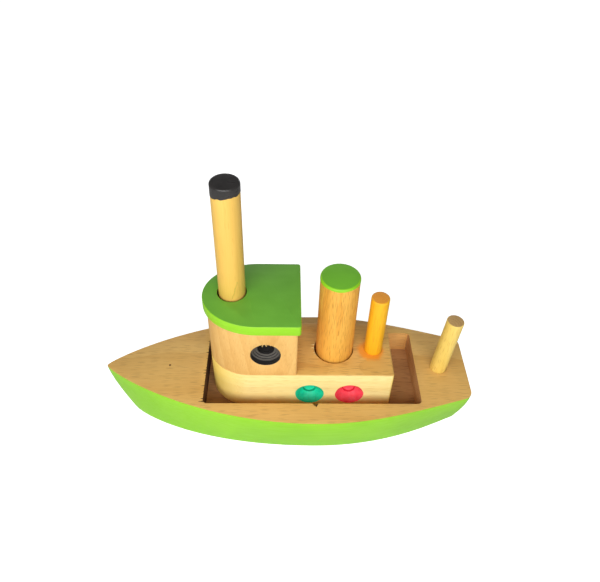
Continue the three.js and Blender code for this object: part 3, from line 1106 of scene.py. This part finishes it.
# %% [markdown]
# ## Holes in the cabin's sides
# The dots and the porthole are drilled into both sides of the cabin and painted. A clean turned cutter looks
# machined, so a few waves put it out of round, as paint does, and noise roughens its floor, as a blunt drill
# does. The painted faces are found by their distance from the hole's axis.

# %% Drill both sides
SINK_RADIUS = 7.75
SINK_MARGIN = 0.6  # how far from its drilled shape a painted face may lie
STEP_EDGE = 0.12
ROUND_WAVES = (2, 3, 5, 8)
OUT_OF_ROUND = (0.002, 0.007)  # a wave's share of the radius
LUMP_SIZE = 2.4
LUMPS_BELOW = 0.5  # the lip stays smooth


def uneven(cutter, bump, seed):
    """Makes a turned cutter a little out of round, and rough inside."""
    dice = Random(seed)
    waves = [(count, dice.uniform(*OUT_OF_ROUND), dice.uniform(0, 2 * pi)) for count in ROUND_WAVES]
    shift = Vector((seed, 0, 0))
    for vertex in cutter.data.vertices:
        angle = atan2(vertex.co.y, vertex.co.x)
        swell = 1 + sum(size * sin(count * angle + phase) for count, size, phase in waves)
        inside = vertex.co.z < -LUMPS_BELOW * MM
        lump = bump * noise.noise(vertex.co / (LUMP_SIZE * MM) + shift) if inside else 0
        vertex.co = (vertex.co.x * swell, vertex.co.y * swell, vertex.co.z + lump * MM)
    return cutter


def sink_both_sides(piece, enamel, x, z, profile, bump):
    """Drills a turned shape into the port and the starboard face, and paints it."""
    centre = (base_high.y + base_low.y) / 2
    deepest = (SINK_MARGIN - min(height for radius, height in profile)) * MM
    for way in (1, -1):
        cutter = uneven(turn("sink", profile), bump, seed=round(x) + way)
        soften(cutter, STEP_EDGE)
        cutter.location = (x * MM, centre + way * cabin_half, z * MM)
        cutter.rotation_euler = (-way * pi / 2, 0, 0)
        cut(piece, cutter)

    def inside(face):
        spot = face.calc_center_median()
        sunk = SKIN * MM < cabin_half - abs(spot.y - centre) < deepest
        return sunk and hypot(spot.x - x * MM, spot.z - z * MM) < (SINK_RADIUS + SINK_MARGIN) * MM

    print(enamel.name, "faces:", paint_faces(piece, enamel, inside))


print("a dot is", 2 * SINK_RADIUS, "mm wide")

# %% [markdown]
# ## Wood of the base
# The base is a paler block than the hull, sawn so that its sides show the rings from the edge. Its round
# front turns from side grain to end grain, which drinks more of the coat. So the colour goes over to gold
# with how far a face looks along the ship.

# %% Base sides
GOLDEN = {"From Min": 0.05, "From Max": 0.8, "To Max": 0.85}  # from no gold to the most

# Cream on the flat sides, golden on the round front.
base_beech, tree = new_material("pale quarter-sawn beech")
colour, figure = wood_colour(tree, "#FDEDA6", "#F7DF90", "#E6C87A", {**BEECH, "pith": (0, 40, -40)})
facing = add(tree, "ShaderNodeTexCoord", "Normal")
along = add(tree, "ShaderNodeSeparateXYZ", "X", {}, {"Vector": facing})
across_grain = add(tree, "ShaderNodeMath", "Value", {"operation": "ABSOLUTE"}, {0: along})
golden = add(tree, "ShaderNodeMapRange", "Result", {}, {"Value": across_grain, **GOLDEN})
shades = {"Factor": golden, "A": colour, "B": linear("#FFDB68")}
colour = add(tree, "ShaderNodeMix", "Result", {"data_type": "RGBA"}, shades)
finish_wood(tree, colour, figure, BEECH["roughness"])
print("wood:", base_beech.name)

# %% [markdown]
# The top of the base is darker than its sides, a painted shade for a top that gets less light, and flecked,
# and the orange stain has run over onto it round the peg's foot.
# A ring of faces in a second material would have a hard edge. A mask fades instead: it is the distance from
# a spot beside the peg's axis, roughened by noise.

# %% Base top
STAIN_REACH = 10.2
STAIN_FADE = 2.4
STAIN_RAGGED = 4.0
STAIN_CLOUD = 4
STAIN_DETAIL = 3.0
STAIN_DEPTH = 0.9
STAIN_SHIFT = Vector((1.4, 1.4, 0)) * MM  # the stain ran to one side

# Warm beech with a soft orange patch, darker than the sides as painted shade.
shaded_base_top, tree = new_material("warm beech with an orange stain")
colour, figure = wood_colour(tree, "#EDC26E", "#DCAA56", "#AF7E3E", BEECH)
spot = Vector((orange_axis.x, orange_axis.y, base_high.z)) + STAIN_SHIFT
here = add(tree, "ShaderNodeTexCoord", "Object")
away = add(tree, "ShaderNodeVectorMath", "Value", {"operation": "DISTANCE"}, {0: here, 1: spot})
puffs = {"Vector": here, "Scale": 1 / (STAIN_CLOUD * MM), "Detail": STAIN_DETAIL}
cloud = add(tree, "ShaderNodeTexNoise", "Fac", {}, puffs)
ragged = {0: cloud, 1: STAIN_RAGGED * MM, 2: away}
edge = add(tree, "ShaderNodeMath", "Value", {"operation": "MULTIPLY_ADD"}, ragged)
fade = {"From Min": STAIN_REACH * MM, "From Max": (STAIN_REACH - STAIN_FADE) * MM, "To Max": STAIN_DEPTH}
wet = add(tree, "ShaderNodeMapRange", "Result", {}, {"Value": edge, **fade})
shades = {"Factor": wet, "A": colour, "B": linear("#F5A02C")}
colour = add(tree, "ShaderNodeMix", "Result", {"data_type": "RGBA"}, shades)
finish_wood(tree, colour, figure, BEECH["roughness"])
print("wood:", shaded_base_top.name, "which reaches", STAIN_REACH, "mm")

# %% [markdown]
# ## Cabin base
# The base has two holes on top, one loose round the funnel and one tight round the orange peg. Dark discs on
# the top could stand for them, but a hole shows its wall when the funnel is pulled out. So both are cut to
# their full depth, and are raw inside, in a dull brown for dust and painted shade.

# %% Cabin base
CABIN_NOSE = 22
BLOCK_EDGE = 0.7
FUNNEL_ROOM = 0.65
FUNNEL_SEAT = 18
FUNNEL_LIP = 0.3
PEG_SEAT = 15
PEG_LIP = 0.1
TOP_SLOPE = 0.35  # a face of the top or its edge rises more than this
BORE_MARGIN = 0.2  # how far from its drilled shape a face of a hole may lie
MOUTH_MARGIN = 0.1


def in_bore(axis, radius, mouth):
    """A test for the faces inside an upright hole of this radius in millimetres."""

    def test(face):
        spot = face.calc_center_median()
        near = hypot(spot.x - axis.x, spot.y - axis.y) < (radius + BORE_MARGIN) * MM
        return near and spot.z < mouth - MOUTH_MARGIN * MM

    return test


def on_base_top(face):
    return face.normal.z > TOP_SLOPE and face.calc_center_median().z > base_high.z - BLOCK_EDGE * MM


base = nose_block("cabin_block", base_low, base_high, CABIN_NOSE)
soften(base, BLOCK_EDGE)
base_holes = (
    (funnel_axis, funnel_radius + FUNNEL_ROOM, FUNNEL_SEAT, FUNNEL_LIP),
    (orange_axis, orange_radius + GLUE_GAP, PEG_SEAT + GLUE_GAP, PEG_LIP),
)
for axis, radius, depth, lip in base_holes:
    hole = bore(radius, depth, lip)
    hole.location = (axis.x, axis.y, base_high.z)
    cut(base, hole)
base.data.materials.append(base_beech)
print("top faces:", paint_faces(base, shaded_base_top, on_base_top))
for axis, radius, _, _ in base_holes:
    # Inside each hole the dull brown stands for dust and painted shade.
    print("hole's faces:", paint_faces(base, dusty_shaded_beech, in_bore(axis, radius, base_high.z)))
measure(base)

# %% [markdown]
# In each side a teal and a red dot are countersunk, with a small hole in the middle, whose wall is painted a
# darker shade of the dot's colour as painted shade. Painted circles would look flat from the side, so each
# dot is drilled: its profile is a cone that ends in a round-cornered floor.

# %% Dots
DOT_HOLE = 3.4
DOT_DEPTH = 5.9
DOT_STEPS = 8
DOT_FLOOR = [(0, 0), (2.8, 0.1), (3.25, 0.4)]  # radius, and height above the deepest point
DOT_Z = 33.5
TEAL_X = -12
RED_X = -33.6
POOL_WALL = 0.6  # a face that looks out of the dot more than this is no wall
POOL_MARGIN = 0.1

cone = [DOT_HOLE + (SINK_RADIUS - DOT_HOLE) * i / DOT_STEPS for i in range(DOT_STEPS + 1)]
dish = [(radius, height - DOT_DEPTH) for radius, height in DOT_FLOOR]
dish += [(radius, radius - SINK_RADIUS) for radius in cone]
dish += [(SINK_RADIUS + CUTTER_TOP, CUTTER_TOP), (0, CUTTER_TOP)]


def in_pool_shade_wall(x):
    """A test for the wall of a dot's inner hole."""

    def test(face):
        spot = face.calc_center_median() / MM
        depth = cabin_half / MM - abs(spot.y - (base_low.y + base_high.y) / 2 / MM)
        near = hypot(spot.x - x, spot.z - DOT_Z) < SINK_RADIUS
        sunk = SINK_RADIUS - DOT_HOLE - POOL_MARGIN < depth < DOT_DEPTH + SINK_MARGIN
        return near and sunk and abs(face.normal.y) < POOL_WALL

    return test


sink_both_sides(base, teal_paint, TEAL_X, DOT_Z, dish, bump=0.3)
sink_both_sides(base, red_paint, RED_X, DOT_Z, dish, bump=0.5)
# The wall of each dot's small hole gets a darker enamel, painted shade.
for x, pool in ((TEAL_X, teal_pool_shade), (RED_X, red_pool_shade)):
    print(pool.name, "faces:", paint_faces(base, pool, in_pool_shade_wall(x)))
measure(base)

# %% [markdown]
# The drill tore the fore rim of the funnel's hole. The same wedges as on the hull make short splinters there,
# which run along the grain to the bow.

# %% Splinters at the funnel's hole
RIM_SPLINTERS = 9
RIM_START = -62  # degrees round the hole, from the bow
RIM_STEP = 13
RIM_STRAY = 4
RIM_REACH = (0.6, 2.2)
RIM_WIDTH = (0.5, 1.0)
RIM_ROOT = 0.5  # inside the rim
RIM_TIP = 0.3

dice = Random(11)
mouth = Vector((funnel_axis.x, funnel_axis.y, base_high.z))
splinters = []
for i in range(RIM_SPLINTERS):
    angle = radians(RIM_START + RIM_STEP * i + dice.uniform(-RIM_STRAY, RIM_STRAY))
    way = Vector((cos(angle), sin(angle), 0))
    rim = mouth + way * (funnel_radius + FUNNEL_ROOM) * MM
    reach = Vector((dice.uniform(*RIM_REACH) * MM, 0, 0))
    width = dice.uniform(*RIM_WIDTH) * MM
    splinters.append((rim - RIM_ROOT * MM * way, rim + reach + RIM_TIP * MM * way, width))
cut(base, wedges(splinters))
measure(base)
shade(base)

# %% [markdown]
# ## Wheelhouse
# The wheelhouse is a pinker block of beech, glued on the base, and the mast's hole goes down into it. Its
# front is as round as the base's, so the same function makes it. Only the wood differs: its grain stands
# on end.

# %% Wheelhouse
MAST_ROOM = 0.7
MAST_SEAT = 26
HOUSE_LIP = 0.2

house_low, house_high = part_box("wheelhouse")
wheelhouse = nose_block("wheelhouse_block", house_low, house_high, CABIN_NOSE)
soften(wheelhouse, BLOCK_EDGE)
hole = bore(mast_radius + MAST_ROOM, MAST_SEAT, HOUSE_LIP)
hole.location = (mast_axis.x, mast_axis.y, house_high.z)
cut(wheelhouse, hole)
wheelhouse.data.materials.append(wheelhouse_beech)
in_mast_hole = in_bore(mast_axis, mast_radius + MAST_ROOM, house_high.z)
# The mast's hole is painted dull brown: dust and painted shade.
print("hole's faces:", paint_faces(wheelhouse, dusty_shaded_beech, in_mast_hole))
measure(wheelhouse)

# %% [markdown]
# A black porthole is drilled into each side with a stepped drill: a straight wall at the mouth, three steps
# and a deep hole. The steps could be rings of paint, but their risers hold shadows, so they are in the
# profile. Their treads are painted a lighter grey black, a painted highlight.

# %% Porthole
PORTHOLE_X = 11.4
PORTHOLE_Z = 65.5
PORTHOLE_WALL = 3.0
PORTHOLE_HOLE = 4.4
PORTHOLE_FLOOR = 13
PORTHOLE_STEPS = 3
PORTHOLE_LIP = 0.15
TREAD_SLOPE = 0.12
RISER = 0.55

porthole = [(0, -PORTHOLE_FLOOR), (PORTHOLE_HOLE, -PORTHOLE_FLOOR)]
tread = (SINK_RADIUS - PORTHOLE_HOLE) / PORTHOLE_STEPS
for i in range(PORTHOLE_STEPS):
    radius = PORTHOLE_HOLE + tread * i
    depth = PORTHOLE_WALL + (PORTHOLE_STEPS - 1 - i) * (tread * TREAD_SLOPE + RISER)
    porthole += [(radius, -depth - tread * TREAD_SLOPE), (radius + tread, -depth)]
porthole += rounded_mouth(SINK_RADIUS, PORTHOLE_LIP)
sink_both_sides(wheelhouse, black_paint, PORTHOLE_X, PORTHOLE_Z, porthole, bump=0.1)
black_coat = coat_index(wheelhouse, black_paint)


def on_tread(face):
    """Tells whether a face is on a step of the porthole and looks out of it."""
    spot = face.calc_center_median() / MM
    away = hypot(spot.x - PORTHOLE_X, spot.z - PORTHOLE_Z)
    painted = face.material_index == black_coat
    return painted and abs(face.normal.y) > WALL and PORTHOLE_HOLE < away < SINK_RADIUS


# The treads get a lighter black, a painted highlight.
print(tread_highlight_black.name, "faces:", paint_faces(wheelhouse, tread_highlight_black, on_tread))
measure(wheelhouse)

# %% [markdown]
# The drill left three pale fibres standing at the upper rim of the port porthole. Pale faces on the wall
# would be lost in its shade. So each fibre is a thin wedge, which is joined on instead of taken away.

# %% Fibres at the porthole
FIBRE_WIDTH = 0.55
FIBRE_SINK = 0.5
FIBRES = [((1.6, -1.5), (0.8, 0.6)), ((-0.5, -1.4), (0.3, 0.6)), ((-2.6, -1.0), (-2.3, 0.6))]
FIBRE_LOW = -2  # a fibre shows between these heights at the rim
FIBRE_HIGH = 0.2

rim = Vector((PORTHOLE_X, house_high.y / MM, PORTHOLE_Z + SINK_RADIUS))
strands = []
for root, tip in FIBRES:
    ends = [(rim + Vector((along, -FIBRE_SINK, up))) * MM for along, up in (root, tip)]
    strands.append((*ends, FIBRE_WIDTH * MM))
cut(wheelhouse, wedges(strands), "UNION")
bare_coat = coat_index(wheelhouse, wheelhouse_beech)


def on_fibre(face):
    away = face.calc_center_median() / MM - rim
    sunk = -FIBRE_WIDTH - FIBRE_SINK < away.y < -SKIN
    beside = abs(away.x) < SINK_RADIUS / 2 and FIBRE_LOW < away.z < FIBRE_HIGH
    return face.material_index == bare_coat and sunk and beside


print("fibre faces:", paint_faces(wheelhouse, edge_beech, on_fibre))
measure(wheelhouse)
shade(wheelhouse)

# %% [markdown]
# ## Roof
# The roof is a thin board with a longer round front, painted all over in lime, with a deeper green on top
# that is painted shade. The mast's hole was drilled after the painting, so it is bare inside, and painted
# near black as shade. The function for the blocks makes this shape too, with another depth of its front.

# %% Roof
ROOF_NOSE = 28
ROOF_EDGE = 0.55
ROOF_LIP = 0.25

roof_low, roof_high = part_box("roof")
roof = nose_block("roof_board", roof_low, roof_high, ROOF_NOSE)
soften(roof, ROOF_EDGE)
hole = bore(mast_radius + MAST_ROOM, (roof_high.z - roof_low.z) / MM + CUTTER_TOP, ROOF_LIP)
hole.location = (mast_axis.x, mast_axis.y, roof_high.z)
cut(roof, hole)
roof.data.materials.append(side_green)
in_roof_hole = in_bore(mast_axis, mast_radius + MAST_ROOM, roof_high.z)
# The deeper green on top is painted shade, and the near black in the hole is painted shade too.
print("top faces:", paint_faces(roof, shaded_top_green, looks_up))
print("hole's faces:", paint_faces(roof, near_black_shade_beech, in_roof_hole))
measure(roof)
shade(roof)

# %% [markdown]
# ## Riding on the frame
# Each new piece stands for one solid of the frame, whose solid is hidden, and moves with that solid's body.

# %% Bodies
record = frame["record"]
body_of = {node: body for body, nodes in record["behaviour"]["bodies"].items() for node in nodes}
pieces = {
    "hull": hull,
    "stern_peg": stern_peg,
    "cabin_base": base,
    "wheelhouse": wheelhouse,
    "roof": roof,
    "orange_peg": orange_peg,
    "mast": mast,
    "funnel": funnel,
}
for node, piece in pieces.items():
    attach(piece, body_of[node])
    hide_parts(node)
    print(piece.name, "rides on", body_of[node])

# %% [markdown]
# ## Light
# The photograph was lit as small goods are, with soft light from the camera's side. One wide softbox stands
# there, lower than the lens and turned a little to the bow. Upright faces are then brighter than the deck,
# round pieces are bright from side to side, and the pocket lies in shade. A weaker, low one behind the boat
# lights the far side, and a faint even sky fills the shadows. The camera sees neither box, and for its rays
# only the sky is white, as nothing on the boat is metal or glass that would mirror it.

# %% Softboxes
LIGHT_AIM = Vector((0, 0, 0.05))  # metres
BOX_DISTANCE = 0.6  # metres
SOFTBOXES = {  # turn from port to the bow, angle above the table, width and height in metres, watts
    "front": (radians(8), radians(33), (0.9, 0.3), 4.6),
    "back": (pi, radians(6), (0.6, 0.16), 1.0),
}

for name, (aside, height, (wide, tall), power) in SOFTBOXES.items():
    way = Vector((sin(aside) * cos(height), cos(aside) * cos(height), sin(height)))
    bpy.ops.object.light_add(type="AREA", location=LIGHT_AIM + BOX_DISTANCE * way)
    softbox = bpy.context.object
    softbox.name = name + "_softbox"
    softbox.rotation_euler = (-way).to_track_quat("-Z", "Y").to_euler()
    softbox.data.shape = "RECTANGLE"
    softbox.data.size = wide
    softbox.data.size_y = tall
    softbox.data.energy = power
    softbox.visible_camera = False
    print(softbox.name, "at", [round(v, 2) for v in softbox.location], "m")

# %% Sky
SKY = 0.18

world = bpy.data.worlds.new("studio")
world.use_nodes = True
world.node_tree.nodes.clear()
bpy.context.scene.world = world
tree = world.node_tree
seen = add(tree, "ShaderNodeLightPath", "Is Camera Ray")
strength = add(tree, "ShaderNodeMapRange", "Result", {}, {"Value": seen, "To Min": SKY, "To Max": 1.0})
sky = add(tree, "ShaderNodeBackground", "Background", {}, {"Color": linear("#FFFFFF"), "Strength": strength})
add(tree, "ShaderNodeOutputWorld", None, {}, {"Surface": sky})
print("sky:", SKY, "of white")

# %% [markdown]
# ## Floor
# The floor is plain white. What the camera sees of it glows a little, so that it reads as white paper, but it
# still takes the boat's shadow, and that glow lights nothing. It lies a hair below the hull, because two
# faces in one plane would show through each other.

# %% Floor
FLOOR_SIZE = 6  # metres
FLOOR_GLOW = 0.88
FLOOR_DROP = 0.05

let_go()
bpy.ops.mesh.primitive_plane_add(size=FLOOR_SIZE, location=(0, 0, -FLOOR_DROP * MM))
floor = settle("floor")
# Matt and almost white, with a soft grey shadow.
white, tree = new_material("white paper")
lit = add(tree, "ShaderNodeBsdfDiffuse", "BSDF", {}, {"Color": linear("#DADADA")})
seen = add(tree, "ShaderNodeLightPath", "Is Camera Ray")
strength = add(tree, "ShaderNodeMapRange", "Result", {}, {"Value": seen, "To Min": 0.0, "To Max": FLOOR_GLOW})
glow = add(tree, "ShaderNodeEmission", "Emission", {}, {"Color": linear("#FFFFFF"), "Strength": strength})
paper = add(tree, "ShaderNodeAddShader", "Shader", {}, {0: lit, 1: glow})
add(tree, "ShaderNodeOutputMaterial", None, {}, {"Surface": paper})
floor.data.materials.append(white)
print("floor:", FLOOR_SIZE, "m")

# %% [markdown]
# ## Last update
# The scene is brought up to date once more.

# %% Update
bpy.context.view_layer.update()
